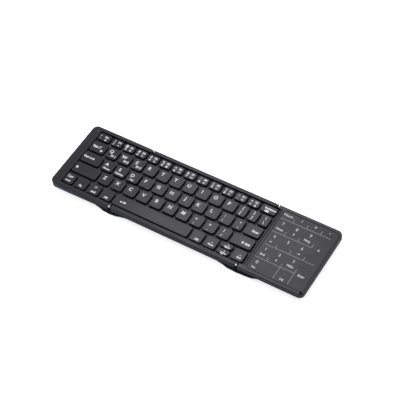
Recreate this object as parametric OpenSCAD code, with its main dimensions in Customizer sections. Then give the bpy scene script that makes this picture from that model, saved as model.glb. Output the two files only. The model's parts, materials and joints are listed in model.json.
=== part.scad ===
// Folding keyboard: a centre section with a wing hinged to each side.
// The left wing carries keys, the right wing a touchpad with a printed number pad.
// X runs along the keyboard, Y from front to back, Z up. The origin lies under the
// middle of the open keyboard, on the surface that its two leather spines stand on.

/* [Key grid] */
// Distance between letter keys
letter_pitch = 18; // [15:0.1:19]
// Distance between the four full rows
row_pitch = 18.1; // [15:0.1:19]
// Depth of the shallow number row
number_row_d = 13.1; // [11:0.1:18]
// Width of the backspace key
backspace_w = 21.8; // [16:0.1:30]
// Gap between neighbouring keys
key_gap = 1.6; // [1:0.1:2.5]
// Width of the escape key
esc_w = 18.9; // [14:0.1:22]
// Width of the tab key
tab_w = 22.4; // [18:0.1:25]
// Width of the caps lock key
caps_w = 28.3; // [20:0.1:30]
// Width of the left shift key
shift_w = 36.3; // [24:0.1:38]
// Width of the quote key beside enter
quote_w = 14.5; // [10:0.1:18]
// Width of the control key
ctrl_w = 15.4; // [12:0.1:18]
// Width of the other keys left of the space bar
modifier_w = 17.9; // [14:0.1:18.5]
// Width of the keys right of the space bar
arrow_w = 18; // [14:0.1:18.5]
// Width of the bracket and backslash keys
bracket_w = 14.5; // [12:0.1:18]

/* [Key caps] */
// Height of a cap
cap_h = 2.2; // [1.8:0.1:3]
// Wall of a cap
cap_wall = 1.1; // [0.7:0.1:1.3]
// Roof of a cap
cap_roof = 0.9; // [0.6:0.1:1.1]
// Corner radius of a cap
cap_r = 3; // [0.8:0.1:3.2]
// Width of the rolled edge round a cap's top
cap_edge = 0.6; // [0.2:0.1:0.9]
// Diameter of the plunger under a cap
plunger_d = 2.8; // [2:0.1:3.2]
// Diameter of the rubber collar that a plunger dives into
collar_d = 5; // [4.6:0.1:5.4]
// Gap between a plunger and its collar
plunger_gap = 0.3; // [0.2:0.05:0.35]
// How far a key travels
key_travel = 1.6; // [1:0.1:1.8]
// Room left under a pressed cap
cap_clear = 0.25; // [0.2:0.05:0.5]
// How far the caps lie below the rails
cap_sink = 0.35; // [0.2:0.05:1]

/* [Body] */
// Width of the rail behind the number row
rear_rail_w = 4.7; // [4.3:0.1:6]
// Width of the rail in front of the space bar
front_rail_w = 5.4; // [4.3:0.1:7]
// Corner radius of the wings
corner_r = 6.5; // [3:0.5:9]
// Rounding of the outer top edges
edge_r = 0.8; // [0.5:0.1:1.6]
// Thickness of the tray floors
tray_t = 0.7; // [0.5:0.1:1.2]
// Thickness of the steel decks
deck_t = 0.7; // [0.4:0.1:1]
// Thickness of the membrane sheets
membrane_t = 0.3; // [0.2:0.05:0.4]
// Gap along the folding seams
seam = 0.5; // [0.4:0.05:0.8]
// Gap between a deck and the rail beside it
rail_gap = 0.3; // [0.2:0.05:0.5]
// Width of the bezel at the left end
end_bezel_w = 11.5; // [9:0.1:13]

/* [Leather] */
// Thickness of the leather panels
leather_t = 0.7; // [0.5:0.1:1]
// Thickness of the stiffened spines
spine_t = 0.9; // [0.6:0.1:1.1]
// Outer radius of the spines, round the hinge axis
spine_r = 11.6; // [11.6:0.1:13]
// Half the angle that a spine covers when open
spine_half_angle = 35; // [25:1:40]
// Width of the flattened strip that a spine stands on
foot_strip_w = 2.2; // [1:0.1:3]
// Distance from the hinge axis at which the leather leaves the tray
ramp_w = 25; // [18:1:32]
// How far the leather stays inside the tray's edge
leather_inset = 0.3; // [0.1:0.1:0.6]

/* [Hinges] */
// How far the key field reaches over the right hinge axis
hinge_in = 4.6; // [4:0.1:6]
// How far the home row's left seam lies inside the left hinge axis
seam_over = 10.4; // [9.5:0.1:12]
// Half the gap between the faces when folded
fold_gap = 0.2; // [0.15:0.05:0.4]
// Diameter of the hinge pins
pin_d = 1.5; // [1:0.1:1.8]
// Diameter of the polished pin heads
pin_head_d = 3; // [2.4:0.1:3.4]
// Length of the pin heads
pin_head_l = 2.5; // [1.5:0.1:2.6]
// Radial clearance between pin and knuckle
pin_clear = 0.05; // [0.02:0.01:0.1]
// Wall of the knuckles
knuckle_wall = 0.8; // [0.5:0.05:0.9]
// Thickness of the hinge arms
arm_t = 0.8; // [0.5:0.05:0.9]
// Length of the hinge arms
arm_l = 9; // [8:0.5:16]
// Thickness of the cheeks that close the ends of the hinges
cheek_t = 2; // [1:0.1:4]
// Width of the ribbon cables inside the spines
flex_w = 16; // [8:0.5:18]
// Height of the hinge arms
arm_h = 2.4; // [1.8:0.1:2.6]
// Half the width of the notch round the pin heads
notch = 2; // [1.9:0.05:2.4]

/* [Touchpad wing] */
// Width of the touchpad bezel along its two ends
pad_side = 1.9; // [1.4:0.1:3]
// Width of the touchpad bezel along the front and rear
pad_edge = 3.8; // [3.4:0.1:5]
// Corner radius of the touchpad
pad_r = 4.5; // [2:0.5:6]
// Thickness of the touchpad glass
glass_t = 0.8; // [0.5:0.1:1.1]
// How far the glass lies below the bezel
glass_sink = 0.15; // [0.1:0.05:0.4]
// Thickness of the touch sensor board
sensor_t = 0.8; // [0.4:0.1:1]
// Width of the ledge under the touch sensor board
ledge_w = 2; // [1.2:0.1:2.6]
// Width of the end wall beside the right seam
end_wall_w = 1.5; // [1:0.1:2]
// Gap between the end wall and the touchpad wing
wing_seam = 1.1; // [0.8:0.1:2]
// Depth of the battery pouch
battery_d = 34; // [20:1:38]
// Height of the battery pouch
battery_h = 2.8; // [1.5:0.1:2.9]
// Room left beside the battery pouch
battery_room = 4; // [2:0.5:8]
// Depth of the main board
board_d = 26; // [16:1:30]
// Thickness of the main board
board_t = 0.8; // [0.6:0.1:1]
// Distance from the wing's seam to the charging port's middle
port_in = 26; // [20:1:40]
// Width, depth and height of the charging port's shell
port_size = [7.6, 7.4, 2.6];
// Wall of the charging port's shell
port_wall = 0.3; // [0.2:0.05:0.4]
// Diameter of the rubber bumpers at the wing corners
bumper_d = 2.6; // [2:0.1:3]
// How far the bumpers stand proud
bumper_rise = 0.1; // [0.05:0.05:0.15]

/* [Hidden] */

e = 0.01;  // overshoot of a cut past a face
fit = 0.1; // gap round a part set into a pocket
ink = "#2b2c30";
hide = "#27304a";

// Heights, from the floor up: the spines' axis sets them all
axis_z = sqrt(spine_r * spine_r - foot_strip_w * foot_strip_w / 4);
top_z = axis_z - fold_gap;
cap_top_z = top_z - cap_sink;
cap_bottom_z = cap_top_z - cap_h;
membrane_z = cap_bottom_z - key_travel - cap_clear;
deck_z = membrane_z - membrane_t - deck_t;
tray_z = deck_z - tray_t;
leather_z = tray_z - leather_t;
wall_top_z = membrane_z;
// A plunger ends just over its collar, which a pressed cap's roof just clears
plunger_drop = 0.15;
collar_h = cap_clear + cap_h - cap_roof - fit;

// Plan positions: the grid sets the size, and the box round it is centred
field_w = tab_w + 10 * letter_pitch + 3 * bracket_w;
number_pitch = (field_w - esc_w - backspace_w) / 12;
wing_keys_w = caps_w + 3 * letter_pitch - seam_over;
hinge_span = field_w - wing_keys_w - hinge_in;
open_l = hinge_span + 2 * (end_bezel_w + wing_keys_w);
body_d = number_row_d + 4 * row_pitch + rear_rail_w + front_rail_w + 2 * (rail_gap + fit);
end_x = open_l / 2;
edge_y = body_d / 2;
field_x = end_bezel_w - end_x;
field_end_x = field_x + field_w;
hinge_x = hinge_span / 2;
field_rear_y = edge_y - rear_rail_w - rail_gap - fit;
row_y = [
    field_rear_y,
    field_rear_y - number_row_d,
    field_rear_y - number_row_d - row_pitch,
    field_rear_y - number_row_d - 2 * row_pitch,
    field_rear_y - number_row_d - 3 * row_pitch,
    field_rear_y - number_row_d - 4 * row_pitch
];
deck_rear_y = row_y[0] + fit;
deck_front_y = row_y[5] - fit;
rail_rear_y = deck_rear_y + rail_gap;
rail_front_y = deck_front_y - rail_gap;
wall_x = field_end_x + key_gap / 2;
wing_x = wall_x + end_wall_w + wing_seam;

// Folding seam of the left wing, one place for each row
seam_x = [
    field_x + esc_w + 3 * number_pitch,
    field_x + tab_w + 3 * letter_pitch,
    field_x + caps_w + 3 * letter_pitch,
    field_x + shift_w + 2 * letter_pitch,
    field_x + ctrl_w + 3 * modifier_w
];
seam_low = min(seam_x);
seam_high = max(seam_x);

// Spine clearances, as radii round the hinge axis
spine_in_r = spine_r - spine_t;
tongue_r = spine_in_r - 0.5;
spine_edge = spine_r * sin(spine_half_angle) + 0.45;
spine_edge_z = -spine_r * cos(spine_half_angle) + 0.1;
cheek_r = spine_in_r - 0.7;
cheek_in = 0.4;

// Hinge parts, measured inwards from the front and rear edges
head_y = edge_y - 0.06;
centre_arm_y = head_y - pin_head_l - fit;
wing_arm_y = centre_arm_y - arm_t - fit;
knuckle_r = pin_d / 2 + pin_clear + knuckle_wall;

// Touchpad places
pad_x0 = wing_x + pad_side;
pad_x1 = end_x - pad_side;
pad_y0 = -edge_y + pad_edge;
pad_y1 = edge_y - pad_edge;
glass_z = top_z - glass_sink - glass_t;
sensor_z = glass_z - sensor_t;
bay_x0 = pad_x0 + ledge_w;
bay_x1 = pad_x1 - ledge_w;
bay_y0 = pad_y0 + ledge_w;
bay_y1 = pad_y1 - ledge_w;
port_x = wing_x + port_in;
port_z = deck_z + board_t;

// ---- Key table: every row is a list of [name, width] ----
function total(v, i = 0) = i >= len(v) ? 0 : v[i] + total(v, i + 1);
function filled(w) = concat(w, [field_w - total(w)]);
space_w = field_w - ctrl_w - 3 * modifier_w - 4 * arrow_w;
row_names = [
    ["esc", "1", "2", "3", "4", "5", "6", "7", "8", "9", "0", "minus", "equals", "backspace"],
    ["tab", "key_q", "key_w", "key_e", "key_r", "key_t", "key_y", "key_u", "key_i", "key_o",
     "key_p", "bracket_open", "bracket_close", "backslash"],
    ["caps", "key_a", "key_s", "key_d", "key_f", "key_g", "key_h", "key_j", "key_k", "key_l",
     "semicolon", "quote", "key_enter"],
    ["shift_left", "key_z", "key_x", "key_c", "key_v", "key_b", "key_n", "key_m",
     "comma", "period", "slash", "shift_right"],
    ["ctrl", "fn", "command", "alt_left", "key_space", "alt_right", "arrow_left",
     "arrow_pair", "arrow_right"]
];
row_widths = [
    filled(concat([esc_w], [for (i = [1:12]) number_pitch])),
    concat([tab_w], [for (i = [1:10]) letter_pitch], [for (i = [1:3]) bracket_w]),
    filled(concat([caps_w], [for (i = [1:10]) letter_pitch], [quote_w])),
    filled(concat([shift_w], [for (i = [1:10]) letter_pitch])),
    concat([ctrl_w], [for (i = [1:3]) modifier_w], [space_w], [for (i = [1:4]) arrow_w])
];

// Cell of a key: [name, left, width, front, depth]
function left_of(row, i) = i == 0 ? field_x : left_of(row, i - 1) + row_widths[row][i - 1];
function cell(row, i) = [row_names[row][i], left_of(row, i), row_widths[row][i],
                         row_y[row + 1], row_y[row] - row_y[row + 1]];
full_cells = [for (r = [0:4]) for (i = [0:len(row_names[r]) - 1]) cell(r, i)];
half_d = row_pitch / 2;
CELLS = [for (c = full_cells) each c[0] == "arrow_pair"
         ? [["arrow_up", c[1], c[2], c[3] + half_d - key_gap / 4, half_d + key_gap / 4],
            ["arrow_down", c[1], c[2], c[3], half_d + key_gap / 4]]
         : [c]];

SINGLE_KEYS = [for (c = CELLS) if (c[0][0] == "k" && c[0][1] == "e" && c[0][2] == "y") c];
LEFT_NUMBERS = ["esc", "1", "2", "3"];
LEFT_SIDES = ["tab", "caps", "shift_left", "ctrl", "fn", "command", "alt_left"];
NUMBERS = ["4", "5", "6", "7", "8", "9", "0", "minus", "equals", "backspace"];
SIDES = ["bracket_open", "bracket_close", "backslash", "semicolon", "quote", "comma", "period",
         "slash", "shift_right", "alt_right", "arrow_left", "arrow_up", "arrow_down",
         "arrow_right"];
LEFT_LETTERS = ["key_q", "key_w", "key_e", "key_a", "key_s", "key_d", "key_z", "key_x"];

function is_in(name, names) = len([for (n = names) if (n == name) n]) > 0;
function pick(names) = [for (c = CELLS) if (is_in(c[0], names)) c];
LEFT_CELLS = concat(pick(LEFT_NUMBERS), pick(LEFT_SIDES), pick(LEFT_LETTERS));
CENTRE_CELLS = [for (c = CELLS) if (!is_in(c[0], [for (l = LEFT_CELLS) l[0]])) c];

// ---- Shared shapes ----
module block(x0, x1, y0, y1, z0, z1) {
    translate([x0, y0, z0]) cube([x1 - x0, y1 - y0, z1 - z0]);
}

module rounded_plan(x0, x1, y0, y1, r, n = 48) {
    translate([x0 + r, y0]) square([x1 - x0 - 2 * r, y1 - y0]);
    translate([x0, y0 + r]) square([x1 - x0, y1 - y0 - 2 * r]);
    for (x = [x0 + r, x1 - r], y = [y0 + r, y1 - r])
        translate([x, y]) circle(r, $fn = n);
}

// The profile is drawn in X and Z, and runs from y0 to y1
module along_y(y0, y1) {
    translate([0, y1, 0]) rotate([90, 0, 0]) linear_extrude(y1 - y0) children();
}

module on_each_edge() {
    for (s = [-1, 1]) scale([1, s, 1]) children();
}

module slab(z, h) {
    translate([0, 0, z]) linear_extrude(h) children();
}

// Outline of a wing or of the whole keyboard, rounded only at its outer end
module end_plan(x_in, side, inset = 0) {
    far = end_x - inset;
    near = abs(x_in);
    r = corner_r - inset;
    half = edge_y - inset;
    scale([side, 1])
        intersection() {
            rounded_plan(near - 2 * corner_r, far, -half, half, r);
            translate([near, -half]) square([far - near, 2 * half]);
        }
}

// Floor plan of the left wing inside its bezel: a block and one tongue for each row
module left_floor() {
    translate([field_x - key_gap / 2, deck_front_y])
        square([seam_low - seam / 2 - field_x + key_gap / 2, deck_rear_y - deck_front_y]);
    for (r = [0:4])
        translate([seam_low - seam, max(row_y[r + 1] + seam / 2, deck_front_y)])
            square([seam_x[r] - seam_low + seam / 2,
                    min(row_y[r] - seam / 2, deck_rear_y) - max(row_y[r + 1] + seam / 2,
                                                                 deck_front_y)]);
}

// Floor plan of the centre section between its rails
module centre_floor(x_end) {
    translate([seam_high + seam / 2, deck_front_y])
        square([x_end - seam_high - seam / 2, deck_rear_y - deck_front_y]);
    for (r = [0:4])
        translate([seam_x[r] + seam / 2, max(row_y[r + 1] + seam / 2, deck_front_y)])
            square([seam_high - seam_x[r] + seam / 2,
                    min(row_y[r] - seam / 2, deck_rear_y) - max(row_y[r + 1] + seam / 2,
                                                                 deck_front_y)]);
}

// Room that the left wing's tongues may use: all left of the axis, and a cylinder round it
module left_swing() {
    block(-end_x - 1, -hinge_x, -edge_y, edge_y, 0, top_z);
    translate([-hinge_x, 0, axis_z]) rotate([90, 0, 0])
        cylinder(r = tongue_r, h = body_d, center = true, $fn = 96);
}

// Pocket for a hinge arm, open towards the pin
module arm_pocket(side, y_out) {
    for (s = [-1, 1])
        scale([side, s, 1])
            block(notch - e, arm_l + fit, y_out - arm_t - fit, y_out + fit,
                  axis_z - knuckle_r - arm_h, axis_z - knuckle_r + fit);
}

// One hinge arm: a knuckle on the axis and a flat bar that runs to the side
module hinge_arm(y_out) {
    along_y(y_out - arm_t, y_out)
        translate([0, axis_z])
            difference() {
                union() {
                    circle(knuckle_r, $fn = 48);
                    polygon([[0.6, -knuckle_r + 0.25], [-0.9, -knuckle_r + 0.35],
                             [-0.9, -knuckle_r], [notch - 0.4, -knuckle_r - arm_h],
                             [arm_l, -knuckle_r - arm_h], [arm_l, -knuckle_r],
                             [knuckle_r, -knuckle_r], [knuckle_r - 0.15, -0.5]]);
                }
                circle(pin_d / 2 + pin_clear, $fn = 48);
            }
}

// One key cap: a soft-edged shell with a plunger in the middle
module key_cap(c) {
    g = key_gap / 2;
    w = c[2] - key_gap;
    d = c[4] - key_gap;
    translate([c[1] + g, c[3] + g, cap_bottom_z]) {
        difference() {
            hull() {
                cap_layer(w, d, 0, 0);
                cap_layer(w, d, cap_edge / 4, cap_h - 0.75 * cap_edge);
                cap_layer(w, d, cap_edge, cap_h - e);
            }
            slab(-e, cap_h - cap_roof + e)
                rounded_plan(cap_wall, w - cap_wall, cap_wall, d - cap_wall,
                             max(cap_r - cap_wall, fit), 4);
        }
        translate([w / 2, d / 2, -plunger_drop])
            cylinder(d = plunger_d, h = cap_h - cap_roof + plunger_drop + e, $fn = 24);
    }
}

module cap_layer(w, d, inset, z) {
    slab(z, e) rounded_plan(inset, w - inset, inset, d - inset, cap_r - inset, 16);
}

module caps(cells) {
    color(ink) for (c = cells) key_cap(c);
}

// Rubber collars that the plungers dive into, on their sheet
module collars(cells) {
    for (c = cells)
        translate([c[1] + c[2] / 2, c[3] + c[4] / 2, membrane_z - e])
            difference() {
                cylinder(d = collar_d, h = collar_h + e, $fn = 24);
                translate([0, 0, e])
                    cylinder(d = plunger_d + 2 * plunger_gap, h = collar_h + e, $fn = 24);
            }
}

// The ramp's top, from the tray's underside in to the spine's edge, round the axis
function ease(t) = (1 - cos(180 * t)) / 2;
tray_drop = tray_z - axis_z;
ramp_low = spine_edge_z + leather_t;
ramp = [for (t = [0:0.1:1])
        [ramp_w - t * (ramp_w - spine_edge), tray_drop - ease(t) * (tray_drop - ramp_low)]];

// Leather from the spine's edge out to u_far
module leather_profile(u_far) {
    under = [for (i = [len(ramp) - 1:-1:0]) ramp[i] - [0, leather_t]];
    translate([0, axis_z])
        polygon(concat([[u_far, tray_drop]], ramp, under, [[u_far, tray_drop - leather_t]]));
}

// Cheeks under a tray's two ends, between a hinge and the leather's ramp
module cheeks(side, away) {
    turn = asin(spine_edge / cheek_r);
    curl = [for (a = [turn:-turn / 6:asin(cheek_in / cheek_r)])
            [cheek_r * sin(a), -cheek_r * cos(a)]];
    top = tray_drop + tray_t / 2;
    translate([side * hinge_x, 0, 0])
        scale([away, 1, 1])
            on_each_edge()
                along_y(edge_y - leather_inset - cheek_t, edge_y - leather_inset - fit)
                    translate([0, axis_z])
                        polygon(concat([[notch, top], [ramp_w - e, top]], ramp, curl,
                                       [[cheek_in, tray_drop]]));
}

module wing_leather(side) {
    color(hide)
        intersection() {
            slab(0, top_z) end_plan(hinge_x, side, leather_inset);
            translate([side * hinge_x, 0, 0]) scale([side, 1, 1])
                along_y(-edge_y, edge_y) leather_profile(end_x - hinge_x);
        }
}

module spine(side) {
    a = spine_half_angle;
    color(hide)
        intersection() {
            along_y(-edge_y + leather_inset, edge_y - leather_inset)
                translate([side * hinge_x, axis_z])
                    intersection() {
                        difference() {
                            circle(spine_r, $fn = 180);
                            circle(spine_in_r, $fn = 180);
                        }
                        polygon([[0, 0], [2 * spine_r * sin(a), -2 * spine_r * cos(a)],
                                 [-2 * spine_r * sin(a), -2 * spine_r * cos(a)]]);
                    }
            block(side * hinge_x - spine_r, side * hinge_x + spine_r, -edge_y, edge_y, 0, top_z);
        }
}

// Flat ribbon that lies inside a spine
module flex_cable(side, y, w) {
    a = spine_half_angle - 3;
    color("#b9772c")
        along_y(y - w / 2, y + w / 2)
            translate([side * hinge_x, axis_z])
                intersection() {
                    difference() {
                        circle(spine_in_r - 0.1, $fn = 120);
                        circle(spine_in_r - 0.3, $fn = 120);
                    }
                    polygon([[0, 0], [2 * spine_r * sin(a), -2 * spine_r * cos(a)],
                             [-2 * spine_r * sin(a), -2 * spine_r * cos(a)]]);
                }
}

// ---- Centre section ----
module centre_tray() {
    color(ink) {
        slab(tray_z, tray_t) centre_floor(wall_x + end_wall_w);
        for (y = [[-edge_y, rail_front_y], [rail_rear_y, edge_y]])
            block(-hinge_x + notch, hinge_x - notch, y[0], y[1], tray_z, wall_top_z);
        for (y = [[rail_front_y - e, deck_front_y + e], [deck_rear_y - e, rail_rear_y + e]])
            block(seam_high + seam, hinge_x - notch, y[0], y[1], tray_z, deck_z);
        for (side = [-1, 1]) cheeks(side, -side);
    }
}

module centre_deck() {
    color("#3a3b3f") slab(deck_z, deck_t) centre_floor(wall_x - fit);
}

module rail_profile(w) {
    r = edge_r;
    h = top_z - wall_top_z;
    square([w, h - r]);
    translate([r / 2, 0]) square([w - 1.5 * r, h]);
    translate([w - r, h - r]) circle(r, $fn = 32);
    translate([r / 2, h - r / 2]) circle(r / 2, $fn = 32);
    translate([0, 0]) square([r, h - r / 2]);
}

module rail(y_in, w, side) {
    translate([-hinge_x + notch, y_in, wall_top_z])
        scale([1, side, 1])
            rotate([90, 0, 90]) linear_extrude(hinge_span - 2 * notch) rail_profile(w);
}

module centre_rails() {
    color("#3c3d41") {
        difference() {
            union() {
                rail(rail_rear_y, edge_y - rail_rear_y, 1);
                rail(rail_front_y, edge_y + rail_front_y, -1);
            }
            for (side = [-1, 1])
                translate([side * hinge_x, 0, 0]) arm_pocket(-side, centre_arm_y);
        }
        block(wall_x, wall_x + end_wall_w, deck_front_y, deck_rear_y, deck_z, top_z - 0.5);
    }
}

module centre_membrane() {
    color("#1b1b1d") {
        slab(membrane_z - membrane_t, membrane_t) centre_floor(wall_x - fit);
        collars(CENTRE_CELLS);
    }
}

module centre_leather() {
    color(hide)
        intersection() {
            block(-hinge_x, hinge_x, -edge_y + leather_inset, edge_y - leather_inset, 0, top_z);
            union()
                for (side = [-1, 1])
                    translate([side * hinge_x, 0, 0]) scale([-side, 1, 1])
                        along_y(-edge_y, edge_y) leather_profile(hinge_x + e);
        }
}

// ---- Left wing ----
module left_tray() {
    color(ink)
        intersection() {
            union() {
                slab(tray_z, tray_t) left_floor();
                difference() {
                    slab(tray_z, wall_top_z - tray_z) end_plan(hinge_x + notch, -1);
                    block(field_x - key_gap / 2, 0, rail_front_y, rail_rear_y, deck_z, top_z);
                    block(seam_low - seam / 2, 0, rail_front_y, rail_rear_y, 0, top_z);
                }
                cheeks(-1, -1);
            }
            left_swing();
        }
}

module left_deck() {
    color("#3a3b3f")
        intersection() {
            slab(deck_z, deck_t) left_floor();
            left_swing();
        }
}

// A wing's outline with its outer top edge rolled over
module rolled_body(x_in, side) {
    hull() {
        slab(wall_top_z, top_z - edge_r - wall_top_z) end_plan(x_in, side);
        slab(top_z - edge_r / 2, e) end_plan(x_in, side, edge_r * 0.13);
        slab(top_z - edge_r * 0.13, e) end_plan(x_in, side, edge_r / 2);
        slab(top_z - e, e) end_plan(x_in, side, edge_r);
    }
}

module left_bezel() {
    color(ink)
        difference() {
            rolled_body(hinge_x + notch, -1);
            block(field_x - key_gap / 2, 0, rail_front_y, rail_rear_y, 0, top_z + 1);
            translate([-hinge_x, 0, 0]) arm_pocket(-1, wing_arm_y);
            translate([left_bumper_at[0], left_bumper_at[1], top_z - 1])
                cylinder(d = bumper_d + 2 * fit, h = 2, $fn = 32);
        }
}

left_bumper_at = [field_x - 3.4, edge_y - 7];
right_bumper_at = [end_x - 2.9, -edge_y + 2.9];

module bumper(at) {
    color("#1a1a1a")
        translate([at[0], at[1], top_z - 1])
            cylinder(d = bumper_d, h = 1 + bumper_rise, $fn = 32);
}

module left_membrane() {
    color("#1b1b1d") {
        intersection() {
            slab(membrane_z - membrane_t, membrane_t) left_floor();
            left_swing();
        }
        collars(LEFT_CELLS);
    }
}

// ---- Right wing ----
module right_tray() {
    color(ink)
        difference() {
            union() {
                slab(tray_z, wall_top_z - tray_z) end_plan(wing_x, 1);
                for (y = [[-edge_y, rail_front_y], [rail_rear_y, edge_y]])
                    block(hinge_x + notch, wing_x + 1, y[0], y[1], tray_z, wall_top_z);
                cheeks(1, 1);
            }
            block(bay_x0, bay_x1, bay_y0, bay_y1, deck_z, top_z);
            port_cut();
        }
}

module port_cut() {
    block(port_x - port_size[0] / 2 - fit, port_x + port_size[0] / 2 + fit,
          bay_y1 - 1, edge_y + 1, port_z - fit, port_z + port_size[2] + fit);
}

module right_bezel() {
    color(ink)
        difference() {
            rolled_body(hinge_x + notch, 1);
            block(hinge_x, wing_x, rail_front_y, rail_rear_y, 0, top_z + 1);
            translate([0, 0, sensor_z]) linear_extrude(top_z)
                rounded_plan(pad_x0 - fit, pad_x1 + fit, pad_y0 - fit, pad_y1 + fit,
                             pad_r + fit);
            block(bay_x0, bay_x1, bay_y0, bay_y1, 0, top_z);
            translate([hinge_x, 0, 0]) arm_pocket(1, wing_arm_y);
            translate([right_bumper_at[0], right_bumper_at[1], top_z - 1])
                cylinder(d = bumper_d + 2 * fit, h = 2, $fn = 32);
            port_cut();
        }
}

module touchpad_glass() {
    color("#303135")
        slab(glass_z, glass_t) rounded_plan(pad_x0, pad_x1, pad_y0, pad_y1, pad_r);
}

module touch_sensor_board() {
    color("#1f5a3a")
        slab(sensor_z, sensor_t)
            rounded_plan(pad_x0 + 0.2, pad_x1 - 0.2, pad_y0 + 0.2, pad_y1 - 0.2, pad_r);
}

module battery() {
    color("silver")
        block(bay_x0 + 2 * battery_room, bay_x1 - battery_room, bay_y0 + battery_room,
              bay_y0 + battery_room + battery_d, deck_z, deck_z + battery_h);
}

module main_board() {
    x0 = bay_x0 + battery_room;
    x1 = bay_x1 - fit;
    y1 = bay_y1 - fit;
    color("#1f5a3a")
        difference() {
            block(x0, x1, y1 - board_d, y1, deck_z, deck_z + board_t);
            for (x = [x0 + screw_in, x1 - screw_in])
                translate([x, y1 - board_d + screw_in, 0])
                    cylinder(d = screw_hole_d, h = top_z, $fn = 24);
        }
    color("#202020") {
        board_chip(port_x + 2 * port_size[0], y1 - board_d / 2, 7, 1);
        board_chip(x0 + 2 * screw_in, y1 - board_d / 2, 5, 0.8);
    }
}

screw_in = 3;
screw_hole_d = 2.2;

module board_chip(x, y, size, h) {
    translate([x - size / 2, y - size / 2, deck_z + board_t - e]) cube([size, size, h]);
}

module usb_port() {
    w = port_size[0];
    d = port_size[1];
    h = port_size[2];
    color("silver")
        translate([port_x - w / 2, edge_y - d - 0.1, port_z])
            difference() {
                cube(port_size);
                translate([port_wall, 1, port_wall])
                    cube([w - 2 * port_wall, d, h - 2 * port_wall]);
            }
    color("#202020")
        translate([port_x - w / 2 + 1.6, edge_y - d + 0.9 - e, port_z + h / 2 - 0.3])
            cube([w - 3.2, d - 2, 0.6]);
}

// ---- Hinges ----
module hinge_pins() {
    color("#e6e7ea")
        for (side = [-1, 1])
            on_each_edge()
                translate([side * hinge_x, 0, axis_z]) rotate([-90, 0, 0]) {
                    translate([0, 0, wing_arm_y - arm_t]) cylinder(d = pin_d, h = head_y
                        - wing_arm_y + arm_t - 1, $fn = 48);
                    translate([0, 0, head_y - pin_head_l])
                        cylinder(d = pin_head_d, h = pin_head_l, $fn = 48);
                }
}

module centre_hinge_arms() {
    color("#55565a")
        for (side = [-1, 1])
            on_each_edge()
                translate([side * hinge_x, 0, 0]) scale([-side, 1, 1]) hinge_arm(centre_arm_y);
}

module wing_hinge_arms(side) {
    color("#55565a")
        on_each_edge()
            translate([side * hinge_x, 0, 0]) scale([side, 1, 1]) hinge_arm(wing_arm_y);
}

centre_tray();
centre_deck();
centre_rails();
centre_membrane();
centre_leather();
left_tray();
left_deck();
left_bezel();
left_membrane();
wing_leather(-1);  // left_leather
bumper(left_bumper_at);  // left_bumper
right_tray();
right_bezel();
touchpad_glass();
touch_sensor_board();
battery();
main_board();
usb_port();
wing_leather(1);  // right_leather
bumper(right_bumper_at);  // right_bumper
spine(-1);  // left_spine
spine(1);  // right_spine
flex_cable(-1, row_y[4], flex_w);  // left_flex_cable
flex_cable(1, row_y[3], flex_w);  // right_flex_cable
hinge_pins();
centre_hinge_arms();
wing_hinge_arms(-1);  // left_hinge_arms
wing_hinge_arms(1);  // right_hinge_arms
caps(pick(LEFT_NUMBERS));  // left_number_keys
caps(pick(LEFT_SIDES));  // left_side_keys
caps(pick(NUMBERS));  // number_keys
caps(pick(SIDES));  // side_keys
for (c = SINGLE_KEYS) caps([c]);
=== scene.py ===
# Folding keyboard: finishes, key caps, printing and leather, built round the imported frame.
import json
import math

import bmesh
import bpy
from mathutils import Matrix, Quaternion, Vector


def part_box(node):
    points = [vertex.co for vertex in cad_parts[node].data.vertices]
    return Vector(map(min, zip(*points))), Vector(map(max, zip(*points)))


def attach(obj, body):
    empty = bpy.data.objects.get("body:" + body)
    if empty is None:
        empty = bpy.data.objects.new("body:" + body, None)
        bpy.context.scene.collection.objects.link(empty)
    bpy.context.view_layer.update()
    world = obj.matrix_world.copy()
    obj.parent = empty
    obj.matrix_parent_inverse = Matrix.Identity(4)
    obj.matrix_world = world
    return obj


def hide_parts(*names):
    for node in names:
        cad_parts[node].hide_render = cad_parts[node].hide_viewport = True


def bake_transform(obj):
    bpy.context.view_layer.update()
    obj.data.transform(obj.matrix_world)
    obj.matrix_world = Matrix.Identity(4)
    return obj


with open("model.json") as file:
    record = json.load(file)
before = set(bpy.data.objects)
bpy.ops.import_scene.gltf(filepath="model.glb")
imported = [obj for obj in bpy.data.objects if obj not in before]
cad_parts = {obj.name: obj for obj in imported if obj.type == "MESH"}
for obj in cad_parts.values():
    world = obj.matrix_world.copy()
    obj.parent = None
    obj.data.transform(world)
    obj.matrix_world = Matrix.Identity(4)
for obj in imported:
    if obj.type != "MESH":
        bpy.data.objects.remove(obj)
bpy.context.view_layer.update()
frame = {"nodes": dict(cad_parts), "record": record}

MM = 0.001

# ---- Sizes shared with the frame's source, in mm ----
# The hinge axes, and the trays' ends, long edges and corners
HINGE_X = 84.7
AXIS_Z = 11.548
END_X = 168.1
EDGE_Y = 48.2
CORNER_R = 6.5
# The leather: its thickness, its underside where it lies flat, and its roll round a hinge
LEATHER_T = 0.7
LEATHER_Z = 4.548
SPINE_R = 11.6
FOOT_STRIP_W = 2.2
# The key caps, with the plunger under each
CAP_H = 2.2
CAP_R = 3.0
CAP_WALL = 1.1
CAP_ROOF = 0.9
CAP_EDGE = 0.6
CAP_DRAFT = 0.4
PLUNGER_R = 1.4
PLUNGER_DROP = 0.15
# From one letter key to the next, and from one number key to the next
LETTER_PITCH = 18
NUMBER_PITCH = 17.1


# ---- Camera ----
# The camera's place in metres, and which ways its own right, up and back are
CAMERA_PLACE = (0.585496, -0.743779, 1.251029)
CAMERA_RIGHT = (0.848010, 0.523921, -0.079906)
CAMERA_UP = (-0.376726, 0.701948, 0.604439)
CAMERA_BACK = (0.372768, -0.482468, 0.792634)
CAMERA_LENS = 123.32
SENSOR_W = 36


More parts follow.
